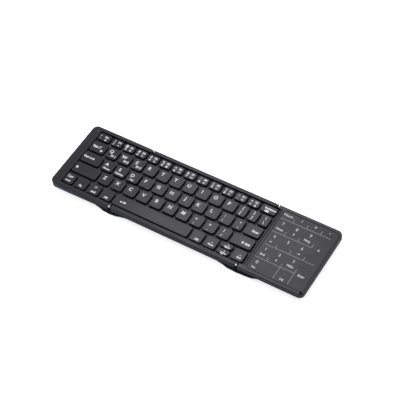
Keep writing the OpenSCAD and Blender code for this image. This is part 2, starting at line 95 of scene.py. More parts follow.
def make_camera():
    """A long lens in front of the keyboard, to its right and well above it."""
    data = bpy.data.cameras.new("camera")
    data.sensor_width = SENSOR_W
    data.lens = CAMERA_LENS
    camera = bpy.data.objects.new("camera", data)
    bpy.context.scene.collection.objects.link(camera)
    turn = Matrix((CAMERA_RIGHT, CAMERA_UP, CAMERA_BACK)).transposed().to_4x4()
    camera.matrix_world = Matrix.Translation(CAMERA_PLACE) @ turn
    bpy.context.scene.camera = camera


make_camera()


# ---- Materials ----
def colour(code):
    """An sRGB hex colour as linear red, green, blue and alpha."""
    parts = [int(code[i:i + 2], 16) / 255 for i in (1, 3, 5)]
    return [c / 12.92 if c <= 0.04045 else ((c + 0.055) / 1.055) ** 2.4 for c in parts] + [1.0]


def add(tree, kind, inputs=None, links=None, **settings):
    """Adds a node to a material: its settings, the values of its inputs, and what they link to."""
    node = tree.nodes.new(kind)
    for name, value in settings.items():
        setattr(node, name, value)
    for name, value in (inputs or {}).items():
        node.inputs[name].default_value = value
    for name, socket in (links or {}).items():
        tree.links.new(socket, node.inputs[name])
    return node


# Plastics and glass reflect a touch cooler than the studio is
COOL = (0.95, 0.93, 1.0, 1.0)
# Moulded and sprayed parts drift in colour over this many mm, and in gloss over this many
SHADE_DRIFT = 22
GLOSS_DRIFT = 14
# The middle part of a noise's range, which a drift of colour is spread over, and a drift of gloss
DRIFT_LOW, DRIFT_HIGH = 0.35, 0.65
WEAR_LOW, WEAR_HIGH = 0.3, 0.7


def per(size):
    """The scale of a pattern whose features are this many mm across."""
    return 1 / (size * MM)


def empty_material(name):
    """A material without nodes, and the tree to put them in."""
    made = bpy.data.materials.new(name)
    made.use_nodes = True
    made.node_tree.nodes.clear()
    return made, made.node_tree


def material(name, **sockets):
    """A material with values set on its shader's own sockets: (material, node tree, shader)."""
    made, tree = empty_material(name)
    shader = add(tree, "ShaderNodeBsdfPrincipled")
    if not sockets.get("metallic"):
        shader.inputs["Specular Tint"].default_value = COOL
    for socket, value in sockets.items():
        shader.inputs[socket.replace("_", " ").title().replace("Ior", "IOR")].default_value = value
    add(tree, "ShaderNodeOutputMaterial", links={"Surface": shader.outputs[0]})
    return made, tree, shader


def object_place(tree):
    """Where a point is in the part's own frame, for patterns that stay with the part."""
    return add(tree, "ShaderNodeTexCoord").outputs["Object"]


def noise(tree, place, size, detail):
    """Cloudy variation from 0 to 1, over features of this size in mm."""
    cloud = add(tree, "ShaderNodeTexNoise", {"Scale": per(size), "Detail": detail}, {"Vector": place})
    return cloud.outputs["Fac"]


def two_shades(tree, shader, value, low, high):
    """Colours the surface between two shades, each given as the value where it starts and its colour."""
    ramp = add(tree, "ShaderNodeValToRGB", links={"Fac": value})
    for stop, (position, code) in zip(ramp.color_ramp.elements, (low, high)):
        stop.position = position
        stop.color = colour(code)
    tree.links.new(ramp.outputs["Color"], shader.inputs["Base Color"])
    return ramp.outputs["Color"]


def mottle(tree, shader, place, low, high, size):
    """Slow drift of the colour between two close shades, over features of this size in mm."""
    two_shades(tree, shader, noise(tree, place, size, 3.0), (DRIFT_LOW, low), (DRIFT_HIGH, high))


def relief(tree, shader, height, depth):
    """Bumps of this depth in mm."""
    bump = add(tree, "ShaderNodeBump", {"Strength": 1.0, "Distance": depth * MM}, {"Height": height})
    tree.links.new(bump.outputs["Normal"], shader.inputs["Normal"])


def gloss(tree, shader, value, low, high, smooth, rough):
    """Roughness from `smooth` to `rough` as the value goes from low to high."""
    spread = add(tree, "ShaderNodeMapRange",
                 {"From Min": low, "From Max": high, "To Min": smooth, "To Max": rough}, {"Value": value})
    tree.links.new(spread.outputs["Result"], shader.inputs["Roughness"])


def moulded(name, low, high, size, depth, smooth, rough, **sockets):
    """A moulded or sprayed finish: two close shades, grains of one size and depth in mm, and a gloss
    that drifts between two values of roughness."""
    made, tree, shader = material(name, **sockets)
    place = object_place(tree)
    mottle(tree, shader, place, low, high, SHADE_DRIFT)
    relief(tree, shader, noise(tree, place, size, 2.0), depth)
    gloss(tree, shader, noise(tree, place, GLOSS_DRIFT, 4.0), WEAR_LOW, WEAR_HIGH, smooth, rough)
    return made


# Each has its two shades, its grain's size and depth in mm, and its least and greatest roughness.
# ABS with a soft-touch lacquer: dark grey, a broad low sheen and no sparkle. This left-bezel copy is a
# shade darker and duller than the right one: painted shade for the dimmer light on the left.
shaded_left_lacquer = moulded("left_shaded_lacquer_copy", "#0d0d10", "#111114", 0.4, 0.008, 0.33, 0.4, ior=1.42)
# The same lacquer on the bezel round the touchpad, a shade lighter and glossier: painted light for the
# brighter sheen on the right.
lit_right_lacquer = moulded("right_lit_lacquer_copy", "#0f0f12", "#131316", 0.4, 0.006, 0.33, 0.4, ior=1.5)
# Satin moulded ABS: the rails read a little lighter than the keys.
rail_abs = moulded("satin_moulded_abs", "#0f0f13", "#131317", 0.4, 0.006, 0.36, 0.44, ior=1.44)
# Powder coat on steel sheet: near black, with a fine orange peel.
deck_coat = moulded("powder_coated_steel", "#101012", "#151517", 0.8, 0.02, 0.42, 0.55)
# Closed-cell foam: a line that swallows the light round the glass and the bumpers.
foam = moulded("black_foam_gasket", "#050506", "#08080a", 0.5, 0.02, 0.85, 0.95, ior=1.2)
# Silicone: dull grey, the pale floor of the gaps where four caps meet, and the left bumper, which it makes
# a paler dot than the right one.
silicone = moulded("silicone_sheet", "#505056", "#5b5b61", 0.6, 0.01, 0.6, 0.75)
# Nitrile rubber: a flat blue-black that takes up the light, so the bumper reads as a dark dot.
nitrile = moulded("nitrile_rubber", "#18181f", "#1f1f28", 0.5, 0.01, 0.8, 0.9, ior=1.22)
# Polyimide film: amber and glossy.
polyimide = moulded("polyimide_film", "#98591a", "#b37227", 4.0, 0.004, 0.2, 0.3)
# Solder mask on glass-epoxy board: deep green under a clear gloss.
solder_mask = moulded("solder_mask", "#0f3c25", "#165033", 1.4, 0.02, 0.25, 0.35, coat_weight=0.4,
                      coat_roughness=0.15)
# Drawn steel with black oxide: dark, with a soft metal gleam.
oxide_steel = moulded("black_oxide_steel", "#434347", "#545458", 0.7, 0.01, 0.35, 0.5, metallic=0.9)
# Nickel plate on a drawn shell: warm bright grey.
nickel = moulded("nickel_plate", "#aeaba3", "#c4c1b9", 0.6, 0.006, 0.2, 0.32, metallic=1.0)
# Polished steel: the pin heads mirror the studio as small bright points.
polished_steel = moulded("polished_steel", "#dadbdd", "#ececee", 0.5, 0.002, 0.1, 0.18, metallic=1.0)
# Laminated pouch foil: pale aluminium, creased where it was folded.
pouch_foil = moulded("pouch_foil", "#a9abaf", "#bfc1c5", 5.0, 0.15, 0.28, 0.42, metallic=1.0)


def matte_caps():
    """ABS key caps: matte with a fine grain, and the middle of each top polished by fingertips."""
    made, tree, shader = material("matte_key_abs", ior=1.44)
    place = object_place(tree)
    mottle(tree, shader, place, "#0d0d10", "#101014", 30)
    # The tool's grain is about 0.1 mm, drawn at 0.35 mm so that it shows.
    relief(tree, shader, noise(tree, place, 0.35, 2.0), 0.012)
    # Distance from the middle of the cap, whose map runs from 0 to 1 each way.
    across = add(tree, "ShaderNodeUVMap", uv_map="cap")
    centred = add(tree, "ShaderNodeVectorMath", {1: (0.5, 0.5, 0.0)}, {0: across.outputs["UV"]},
                  operation="SUBTRACT")
    reach = add(tree, "ShaderNodeVectorMath", links={0: centred.outputs["Vector"]}, operation="LENGTH")
    gloss(tree, shader, reach.outputs["Value"], 0.1, 0.55, 0.27, 0.33)
    return made


def etched_glass():
    """Etched glass, printed dark on its back: a grey depth under a satin face, with a few smears."""
    made, tree, shader = material("etched_printed_glass", ior=1.42)
    place = object_place(tree)
    mottle(tree, shader, place, "#0e0e12", "#111115", 60)
    # Etching is finer than 0.05 mm, drawn at 0.3 mm so that it shows.
    relief(tree, shader, noise(tree, place, 0.3, 1.0), 0.004)
    gloss(tree, shader, noise(tree, place, 18, 3.0), DRIFT_LOW, DRIFT_HIGH, 0.26, 0.32)
    return made


# The leather's painted crease shade, its navy, and the blue of its painted reflection at the left end
LEATHER_CREASE_SHADE, LEATHER_NAVY, LEATHER_BLUE_LIGHT = "#0e131e", "#192135", "#33527c"
# How far across the pebbles, the fibres on them and the clouds of dye are, in mm
PEBBLE, FIBRE, CLOUD = 1.2, 0.5, 25
# How wide a crease is, in parts of a pebble, how deep it is in mm, and the fibres' share of that
CREASE_W, CREASE_DEPTH, FIBRE_SHARE = 0.25, 0.06, 0.3
# How much of the clouds is added to the creases, and from where to where the sum goes from the creases'
# painted shade to navy
CLOUD_SHARE = 0.6
DARK_TO, NAVY_FROM = 0.2, 0.8125
# Where along X the painted blue reflection on the leather starts, and where it is full, in mm
BLUE_LIGHT_SPAN = (-110, -155)


def grained_leather(name, laid, blue_light=None):
    """Pressed-grain navy leather: pebbles, with painted shade darkening the creases between them, and a
    painted blue reflection toward one end when a span for it is given. A laid sheet is patterned along its
    own length."""
    made, tree, shader = material(name, roughness=0.6, ior=1.35, sheen_weight=0.03, sheen_roughness=0.5)
    place = add(tree, "ShaderNodeUVMap", uv_map="hide").outputs["UV"] if laid else object_place(tree)
    pebbles = add(tree, "ShaderNodeTexVoronoi", {"Scale": per(PEBBLE), "Randomness": 0.9},
                  {"Vector": place}, feature="DISTANCE_TO_EDGE")
    crease = add(tree, "ShaderNodeMapRange", {"From Min": 0.0, "From Max": CREASE_W},
                 {"Value": pebbles.outputs["Distance"]})
    fibres, clouds = noise(tree, place, FIBRE, 3.0), noise(tree, place, CLOUD, 3.0)
    height = add(tree, "ShaderNodeMath", {1: FIBRE_SHARE}, {0: fibres, 2: crease.outputs["Result"]},
                 operation="MULTIPLY_ADD")
    relief(tree, shader, height.outputs["Value"], CREASE_DEPTH)
    # Painted shade: the sum is lowest in the creases, which the ramp turns darker; the clouds of dye add
    # to it
    shade = add(tree, "ShaderNodeMath", {1: CLOUD_SHARE}, {0: clouds, 2: crease.outputs["Result"]},
                operation="MULTIPLY_ADD")
    dye_and_crease_shade = two_shades(tree, shader, shade.outputs["Value"], (DARK_TO, LEATHER_CREASE_SHADE),
                      (NAVY_FROM, LEATHER_NAVY))
    # Painted blue reflection, growing along X over the given span
    if blue_light:
        spot = add(tree, "ShaderNodeSeparateXYZ", links={"Vector": object_place(tree)})
        near = add(tree, "ShaderNodeMapRange", {"From Min": blue_light[0] * MM, "From Max": blue_light[1] * MM},
                   {"Value": spot.outputs["X"]})
        painted_blue = add(tree, "ShaderNodeMix", {"B": colour(LEATHER_BLUE_LIGHT)},
                   {"Factor": near.outputs["Result"], "A": dye_and_crease_shade}, data_type="RGBA")
        tree.links.new(painted_blue.outputs["Result"], shader.inputs["Base Color"])
    return made


def thin_paint(name, low, high, roughness):
    """Paint or ink laid thinly: slight changes of depth, and a gloss of its own."""
    made, tree, shader = material(name, roughness=roughness)
    mottle(tree, shader, object_place(tree), low, high, 3)
    return made


cap_abs = matte_caps()
pad_glass = etched_glass()
hide = grained_leather("grained_navy_leather", True)
# The same leather, wrapped up the sides of the trays.
wrapped_hide = grained_leather("wrapped_navy_leather", False)
# The same leather with a painted blue reflection: it turns bluer toward the left end, where the light
# catches it.
blue_lit_hide = grained_leather("blue_lit_navy_leather", False, BLUE_LIGHT_SPAN)
# Edge paint on cut leather: a brighter blue line, half glossy, which also stands in for a painted blue
# sheen where light catches the edges, widest at the thickened left end.
edge_paint_and_sheen = thin_paint("leather_edge_paint", "#2a4b7e", "#385e99", 0.45)
# Pad-printed ink: clear white, a little thinner here and there.
white_ink = thin_paint("white_pad_print", "#e2e2e5", "#efeff1", 0.5)
# The same ink, screened to grey.
grey_ink = thin_paint("grey_pad_print", "#85858c", "#93939a", 0.5)

FINISHES = {
    wrapped_hide: ["centre_tray", "right_tray"],
    blue_lit_hide: ["left_tray"],
    shaded_left_lacquer: ["left_bezel"],
    lit_right_lacquer: ["right_bezel"],
    rail_abs: ["centre_rails"],
    deck_coat: ["centre_deck", "left_deck"],
    silicone: ["centre_membrane", "left_membrane", "left_bumper"],
    nitrile: ["right_bumper"],
    polyimide: ["left_flex_cable", "right_flex_cable"],
    solder_mask: ["touch_sensor_board", "main_board"],
    oxide_steel: ["centre_hinge_arms", "left_hinge_arms", "right_hinge_arms"],
    nickel: ["usb_port"],
    polished_steel: ["hinge_pins"],
    pouch_foil: ["battery"],
    pad_glass: ["touchpad_glass"],
    hide: ["centre_leather", "left_leather", "right_leather", "left_spine", "right_spine"],
}
# How far the edges of each hard part are rounded, in mm
ROUNDED = {"touchpad_glass": 0.15, "left_bumper": 0.3, "right_bumper": 0.3, "usb_port": 0.08,
           "centre_rails": 0.2, "left_bezel": 0.15, "right_bezel": 0.15}
# Points closer than this, in metres, are one point
SAME_POINT = 1e-6
# Edges sharper than this many degrees are rounded
SHARP_EDGE = 38


def finish_frame():
    """Gives every frame part its finish."""
    for finish, names in FINISHES.items():
        for name in names:
            for place in frame["nodes"][name].material_slots:
                place.link = "OBJECT"
                place.material = finish


def soften(node, width):
    """Rounds the sharp edges of a frame part by this many mm."""
    piece = frame["nodes"][node]
    weld = piece.modifiers.new("weld", "WELD")
    weld.merge_threshold = SAME_POINT
    bevel = piece.modifiers.new("soft_edges", "BEVEL")
    bevel.width = width * MM
    bevel.segments = 2
    bevel.limit_method = "ANGLE"
    bevel.angle_limit = math.radians(SHARP_EDGE)
    bevel.harden_normals = True


finish_frame()
for rounded_part, rounding in ROUNDED.items():
    soften(rounded_part, rounding)


# ---- Mesh helpers ----
def place_mesh(name, bm, finishes, smooth=None):
    """Turns a mesh in mm into an object in the scene; edges under `smooth` degrees are shaded round."""
    bmesh.ops.scale(bm, vec=(MM, MM, MM), verts=bm.verts)
    bmesh.ops.recalc_face_normals(bm, faces=bm.faces)
    mesh = bpy.data.meshes.new(name)
    bm.to_mesh(mesh)
    bm.free()
    for finish in finishes:
        mesh.materials.append(finish)
    if smooth:
        mesh.shade_smooth()
        mesh.set_sharp_from_angle(angle=math.radians(smooth))
    piece = bpy.data.objects.new(name, mesh)
    bpy.context.scene.collection.objects.link(piece)
    return piece


def rounded_outline(x0, x1, y0, y1, r, steps=6):
    """A rectangle with round corners, anticlockwise from its right side."""
    centres = [(x1 - r, y1 - r), (x0 + r, y1 - r), (x0 + r, y0 + r), (x1 - r, y0 + r)]
    points = []
    for corner, (cx, cy) in enumerate(centres):
        for i in range(steps + 1):
            a = math.pi / 2 * (corner + i / steps)
            points.append((cx + r * math.cos(a), cy + r * math.sin(a)))
    return points


def bridge(bm, first, second, finish=0):
    """Joins two rings of the same number of points with a band of faces."""
    n = len(first)
    for i in range(n):
        face = bm.faces.new((first[i], first[(i + 1) % n], second[(i + 1) % n], second[i]))
        face.material_index = finish


def slab(bm, outline, bottom, top, finish=0):
    """A thin closed plate on an outline; bottom and top give the height at a point."""
    low = [bm.verts.new((x, y, bottom(x, y))) for x, y in outline]
    high = [bm.verts.new((x, y, top(x, y))) for x, y in outline]
    bridge(bm, low, high, finish)
    for ring in (low[::-1], high):
        bm.faces.new(ring).material_index = finish


def level(z):
    """A flat surface at this height, as the heights that slab takes."""
    return lambda x, y: z


def above(surface, rise):
    """A surface that runs this far above another, or below it."""
    return lambda x, y: surface(x, y) + rise


# ---- Key caps ----
BODY_OF = {node: body for body, nodes in frame["record"]["behaviour"]["bodies"].items() for node in nodes}
KEY_NODES = sorted(n for n in frame["nodes"] if n.startswith("key_") or n.endswith("_keys"))
# How deep a cap's top is dished, and the small edge round the foot of its skirt
DISH = 0.12
SKIRT_EDGE = 0.12
# Rings on the top, by their distance from the cap's side, and how far they keep from its middle
DISH_RINGS = (1.6, 2.8, 4.4)
DISH_KEEP = 1.6
# Half the width of the flat in the middle, and the least radius of a ring's corners
FLAT_HALF = 1.2
LEAST_R = 0.6
# Faces round the rolled edge, and up to how many degrees an edge is shaded round
EDGE_STEPS = 4
CAP_ROUND = 50
# The homing bar: half its length and width, its corners, how far in it lies and how high it stands
BAR_HALF, BAR_THIN, BAR_CORNER = 1.9, 0.3, 0.29
BAR_IN, BAR_SUNK, BAR_RISE = 2.6, 0.05, 0.2


def solids_of(node):
    """The lowest and highest corners, in mm, of each separate solid in a frame part."""
    bm = bmesh.new()
    bm.from_mesh(frame["nodes"][node].data)
    bmesh.ops.remove_doubles(bm, verts=bm.verts, dist=SAME_POINT)
    left = set(bm.verts)
    boxes = []
    while left:
        group = [left.pop()]
        for vertex in group:
            for edge in vertex.link_edges:
                other = edge.other_vert(vertex)
                if other in left:
                    left.remove(other)
                    group.append(other)
        low = [min(v.co[i] for v in group) / MM for i in range(3)]
        high = [max(v.co[i] for v in group) / MM for i in range(3)]
        boxes.append((low, high))
    bm.free()
    return sorted(boxes, key=lambda b: (-b[1][1], b[0][0]))


class Cap:
    """One key cap, from the box of its solid in the frame."""

    def __init__(self, node, low, high):
        self.node = node
        self.x0, self.y0 = low[0], low[1]
        self.x1, self.y1, self.top = high
        self.base = self.top - CAP_H
        # The top's rings, as distances from the cap's side; the dish is flat inside the last
        self.half = min(self.x1 - self.x0, self.y1 - self.y0) / 2
        self.steps = [CAP_DRAFT + CAP_EDGE] + [i for i in DISH_RINGS if i < self.half - DISH_KEEP]
        self.steps.append(self.half - FLAT_HALF)

    def holds(self, x, y):
        """Whether a point lies on this cap."""
        return self.x0 <= x <= self.x1 and self.y0 <= y <= self.y1

    def dish(self, inset):
        """Depth of the dish on a ring of the top."""
        rise = 1 - (inset - self.steps[0]) / (self.steps[-1] - self.steps[0])
        return DISH * (1 - rise * rise)

    def height(self, x, y):
        """Height of the dished top at a point."""
        near = min(x - self.x0, self.x1 - x, y - self.y0, self.y1 - y)
        for a, b in zip(self.steps, self.steps[1:]):
            if near < b:
                share = max(0, near - a) / (b - a)
                return self.top - (1 - share) * self.dish(a) - share * self.dish(b)
        return self.top - DISH

    def ring(self, bm, inset, z=None):
        """An outline this far inside the cap's side; without z it lies on the top."""
        r = min(max(CAP_R - inset, LEAST_R), self.half - inset)
        outline = rounded_outline(self.x0 + inset, self.x1 - inset, self.y0 + inset, self.y1 - inset, r)
        z = self.top - self.dish(inset) if z is None else z
        return [bm.verts.new((x, y, z)) for x, y in outline]

    def build(self, bm, uv):
        """Plunger, inside of the shell, skirt, rolled edge and dished top, as one closed skin."""
        cx, cy = (self.x0 + self.x1) / 2, (self.y0 + self.y1) / 2
        roof = self.top - CAP_ROOF
        stem = rounded_outline(cx - PLUNGER_R, cx + PLUNGER_R, cy - PLUNGER_R, cy + PLUNGER_R, PLUNGER_R)
        rings = [[bm.verts.new((x, y, z)) for x, y in stem] for z in (self.base - PLUNGER_DROP, roof)]
        rings += [self.ring(bm, CAP_WALL, roof), self.ring(bm, CAP_WALL, self.base),
                  self.ring(bm, SKIRT_EDGE, self.base), self.ring(bm, 0, self.base + SKIRT_EDGE)]
        for step in range(EDGE_STEPS + 1):
            a = math.pi / 2 * step / EDGE_STEPS
            inset = CAP_DRAFT + CAP_EDGE * (1 - math.cos(a))
            rings.append(self.ring(bm, inset, self.top - CAP_EDGE * (1 - math.sin(a))))
        rings += [self.ring(bm, inset) for inset in self.steps[1:]]
        for first, second in zip(rings, rings[1:]):
            bridge(bm, first, second)
        bm.faces.new(rings[0][::-1])
        bm.faces.new(rings[-1])
        for ring in rings:
            for vertex in ring:
                for loop in vertex.link_loops:
                    loop[uv].uv = ((vertex.co.x - self.x0) / (self.x1 - self.x0),
                                   (vertex.co.y - self.y0) / (self.y1 - self.y0))


CAPS = [Cap(node, low, high) for node in KEY_NODES for low, high in solids_of(node)]


def homing_bar(bm, cap):
    """The small bar that a fingertip finds on F and J."""
    x = (cap.x0 + cap.x1) / 2
    y = cap.y0 + BAR_IN
    outline = rounded_outline(x - BAR_HALF, x + BAR_HALF, y - BAR_THIN, y + BAR_THIN, BAR_CORNER, 4)
    slab(bm, outline, above(cap.height, -BAR_SUNK), above(cap.height, BAR_RISE))


def make_caps():
    """The caps of each key node, as one piece that replaces it."""
    for node in KEY_NODES:
        bm = bmesh.new()
        uv = bm.loops.layers.uv.new("cap")
        for cap in CAPS:
            if cap.node == node:
                cap.build(bm, uv)
                if node in ("key_f", "key_j"):
                    homing_bar(bm, cap)
        piece = place_mesh(node + "_cap", bm, [cap_abs], smooth=CAP_ROUND)
        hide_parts(node)
        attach(piece, BODY_OF[node])


make_caps()


# ---- Printing ----
INK_T = 0.02
# How much strokes are thickened, and how much more on words less than SMALL_MARK mm tall
CAP_BOLD, SMALL_BOLD = 0.03, 0.02
SMALL_MARK = 3
WORDS = {}


def word_outline(text, bold):
    """A word in a plain sans face, as points and faces, with its strokes thickened by `bold`."""
    if (text, bold) not in WORDS:
        curve = bpy.data.curves.new("word", "FONT")
        curve.body = text
        # Any thickness will do: the ink's own is set when the word is printed
        curve.extrude = 0.5
        curve.offset = bold
        curve.resolution_u = 3
        holder = bpy.data.objects.new("word", curve)
        bpy.context.scene.collection.objects.link(holder)
        bpy.context.view_layer.update()
        shaped = holder.evaluated_get(bpy.context.evaluated_depsgraph_get())
        mesh = bpy.data.meshes.new_from_object(shaped)
        points = [tuple(v.co) for v in mesh.vertices]
        faces = [tuple(p.vertices) for p in mesh.polygons]
        bpy.data.objects.remove(holder)
        bpy.data.meshes.remove(mesh)
        bpy.data.curves.remove(curve)
        WORDS[text, bold] = (points, faces)
    return WORDS[text, bold]


def extent(points, axis):
    """The least and greatest value along an axis."""
    values = [p[axis] for p in points]
    return min(values), max(values)


# How tall a capital is drawn
CAPITAL_LOW, CAPITAL_HIGH = extent(word_outline("H", 0)[0], 1)
CAPITAL = CAPITAL_HIGH - CAPITAL_LOW


def print_word(bm, text, x, y, height, width, surface, bold):
    """Prints a word centred on (x, y), its capitals `height` mm tall, and `width` mm wide if given."""
    points, faces = word_outline(text, bold)
    (left, right), (low, high) = extent(points, 0), extent(points, 1)
    rise = height / CAPITAL
    stretch = width / (right - left) if width else rise
    made = []
    for px, py, pz in points:
        qx = x + (px - (left + right) / 2) * stretch
        qy = y + (py - (low + high) / 2) * rise
        made.append(bm.verts.new((qx, qy, surface(qx, qy) + (INK_T if pz > 0 else -INK_T))))
    for face in faces:
        bm.faces.new([made[i] for i in face])


def oval(cx, cy, a, b, n=16):
    """An oval, by its centre and half its width and depth."""
    turns = [2 * math.pi * i / n for i in range(n)]
    return [(cx + a * math.cos(turn), cy + b * math.sin(turn)) for turn in turns]


def disc(cx, cy, r, n=12):
    """A disc, by its centre and radius."""
    return oval(cx, cy, r, r, n)


def box_shape(x0, x1, y0, y1):
    """A rectangle, anticlockwise."""
    return [(x1, y0), (x1, y1), (x0, y1), (x0, y0)]


def arc_band(cx, cy, r, t, start, end, n=8):
    """A curved bar: centre, radius, thickness and the two angles in degrees."""
    angles = [math.radians(start + (end - start) * i / n) for i in range(n + 1)]
    outer = [(cx + (r + t / 2) * math.cos(a), cy + (r + t / 2) * math.sin(a)) for a in angles]
    inner = [(cx + (r - t / 2) * math.cos(a), cy + (r - t / 2) * math.sin(a)) for a in reversed(angles)]
    return outer + inner


def ring_shape(cx, cy, r, t):
    """A ring, as two curved bars that almost meet."""
    return [arc_band(cx, cy, r, t, 0, 179, 8), arc_band(cx, cy, r, t, 180, 359, 8)]


def star(cx, cy, outer, inner, n=8):
    """A star of n points."""
    arms = [(outer if i % 2 else inner, math.pi * i / n) for i in range(2 * n)]
    return [(cx + r * math.cos(a), cy + r * math.sin(a)) for r, a in arms]


def turned(shape, quarters):
    """A shape turned by quarter turns."""
    c, s = [(1, 0), (0, 1), (-1, 0), (0, -1)][quarters % 4]
    return [(x * c - y * s, x * s + y * c) for x, y in shape]


def half_size(shape, lift):
    """A shape 0.9 as wide and half as tall, moved up."""
    return [(x * 0.9, y * 0.5 + lift) for x, y in shape]


def triangle(tip, base, half):
    """A triangle that points along X, with half its base given."""
    points = [(base, -half), (tip, 0.0), (base, half)]
    return points if tip > base else points[::-1]


SPEAKER = [(-0.5, -0.16), (-0.28, -0.16), (0, -0.42), (0, 0.42), (-0.28, 0.16), (-0.5, 0.16)]
ARROW = [(-0.5, 0), (-0.1, -0.34), (-0.1, -0.1), (0.5, -0.1), (0.5, 0.1), (-0.1, 0.1), (-0.1, 0.34)]
BIG_ARROW = [(0, 0.5), (-0.5, 0), (-0.22, 0), (-0.22, -0.45), (0.22, -0.45), (0.22, 0), (0.5, 0)]
HOUSE = [(-0.36, -0.45), (0.36, -0.45), (0.36, 0.05), (0.5, 0.05), (0, 0.5), (-0.5, 0.05), (-0.36, 0.05)]
GLASS_HANDLE = [(0.08, -0.2), (0.4, -0.5), (0.5, -0.4), (0.18, -0.1)]
BLADES = [[(-0.2, -0.16), (-0.1, -0.16), (0.36, 0.5), (0.24, 0.5)],
          [(0.1, -0.16), (0.2, -0.16), (-0.24, 0.5), (-0.36, 0.5)]]
SOUND_WAVE, WIDE_WAVE = arc_band(0.02, 0, 0.2, 0.1, -50, 50), arc_band(0.02, 0, 0.42, 0.1, -50, 50)


# Small signs, drawn in a square one unit wide
SIGNS = {
    "left": [ARROW],
    "right": [turned(ARROW, 2)],
    "up": [turned(ARROW, 3)],
    "down": [turned(ARROW, 1)],
    "shift": [BIG_ARROW],
    "dim": [star(0, 0, 0.38, 0.2)],
    "bright": [star(0, 0, 0.52, 0.24)],
    "search": ring_shape(-0.1, 0.1, 0.28, 0.14) + [GLASS_HANDLE],
    "house": [HOUSE],
    "cut": ring_shape(-0.26, -0.28, 0.16, 0.1) + ring_shape(0.26, -0.28, 0.16, 0.1) + BLADES,
    "back": [triangle(-0.5, -0.02, 0.36), triangle(0.02, 0.5, 0.36)],
    "play": [triangle(0.1, -0.5, 0.42), box_shape(0.16, 0.28, -0.4, 0.4), box_shape(0.38, 0.5, -0.4, 0.4)],
    "next": [triangle(-0.02, -0.5, 0.36), triangle(0.5, 0.02, 0.36)],
    "mute": [SPEAKER, [(0.12, -0.2), (0.2, -0.28), (0.5, 0.2), (0.42, 0.28)]],
    "quiet": [SPEAKER, SOUND_WAVE],
    "loud": [SPEAKER, SOUND_WAVE, WIDE_WAVE],
    "lock": [box_shape(-0.34, 0.34, -0.5, 0.08), arc_band(0, 0.1, 0.24, 0.12, 0, 180)],
    "radio": [disc(0, 0, 0.26), arc_band(0, 0, 0.44, 0.16, -60, 60), arc_band(0, 0, 0.44, 0.16, 120, 240)],
    "lamp": [disc(0, 0, 0.46, 16)],
    "tab": [half_size(turned(ARROW, 2), 0.26), box_shape(0.45, 0.52, 0.06, 0.46),
            half_size(ARROW, -0.26), box_shape(-0.52, -0.45, -0.46, -0.06)],
    "rubout": [[(-0.5, 0.0), (-0.28, -0.26), (0.5, -0.26), (0.5, 0.26), (-0.28, 0.26)]],
    "star": [star(0, 0, 0.5, 0.24, 6)],
    "link": [oval(0.25, 0.02, 0.24, 0.14), oval(-0.25, -0.02, 0.2, 0.11)],
    "loop": ring_shape(0, 0, 0.34, 0.14),
}


def print_sign(bm, name, x, y, size, surface):
    """Prints a sign centred on (x, y), in a square `size` mm wide."""
    for shape in SIGNS[name]:
        outline = [(x + px * size, y + py * size) for px, py in shape]
        slab(bm, outline, above(surface, -INK_T), above(surface, INK_T))


# Heights of the marks: letters, number-row marks, F-numbers, and the two marks of a punctuation key
LETTER_TALL, NUMBER_TALL, F_TALL, PAIR_TALL = 4.3, 2.7, 2.5, 3.4
# The letters of each row, and the place of the first
LETTER_ROWS = [("QWERTYUIOP", -127.4, 22.6), ("ASDFGHJKL", -121.6, 4.4), ("ZXCVBNM", -112.7, -13.6)]
NUMBERS, SHIFTED = "1234567890-=", "!@#$%^&*()_+"
NUMBER_SIGNS = [":dim", ":bright", ":search", ":cut", ":house", ":back", ":play", ":next", ":mute",
                ":quiet", ":loud", ":lock"]
FIRST_NUMBER, NUMBER_REAR, NUMBER_FRONT = -132.7, 38.2, 33.9
# The F-number and its sign stand this far to the right of a number
F_RIGHT, F_WIDE, SIGN_FRONT, SIGN_TALL = 6.4, 3.6, 34.0, 3.2
# Marks with a place of their own: word or :sign, x, y, height, and width where it isn't the face's own
SINGLE_MARKS = [
    ("~", -152.5, 38, 2.2), ("`", -152.3, 34.6, 2.2),
    ("Esc", -144.6, 38, 2.5, 4.6), (":lock", -144.5, 34, 3),
    ("Backspace", 80.5, 37.2, 2.4, 14.2), (":rubout", 77, 33.4, 5.5),
    ("Tab", -150, 20.8, 2.9), (":tab", -144, 21.4, 4.6), (":lamp", -139.5, 17.5, 3.2),
    ("Caps Lock", -146.4, 2.9, 2.5, 15.2), (":shift", -151.3, -15.3, 4.2),
    ("Ctrl", -150, -30.9, 3.3, 7), ("control", -149.7, -37, 2.2, 6.6),
    ("Fn", -132, -37, 2.7), (":loop", -114, -30.4, 3.4),
    ("cmd", -113.6, -37.2, 2.7, 6.2), ("Alt", -95.8, -37.2, 2.7),
    (":link", -74.2, -34, 8.6), ("Alt", 27.6, -37.6, 2.7),
    ("Enter", 81, 2.2, 2.8, 8.6), (":shift", 75.6, -16.8, 4), ("Shift", 81.8, -17, 2.7, 6.6),
    ("Phone", -119, -1.6, 2, 8.8), ("Desktop", -101.4, -1.6, 2, 11), ("Pad", -83.6, -1.6, 2, 4.8),
]
# The radio signs for three paired devices, each with a figure beside it
RADIO_X, RADIO_Y, RADIO_TALL, RADIO_RIGHT = (-123.7, -105.6, -88.2), 17.5, 3.8, 4
# Punctuation keys: the shifted mark, the plain one, x, and the y of each
PAIRS = [("{", "[", 52.2, 24.2, 17.4), ("}", "]", 66.8, 24.2, 17.4), ("|", "\\", 82, 24.2, 17.4),
         (":", ";", 39.3, 5.4, -1.2), ('"', "'", 59.8, 5.8, -1.8), ("<", ",", 12.5, -13.2, -20),
         (">", ".", 31, -13.2, -20.6), ("?", "/", 49, -13, -19.6)]
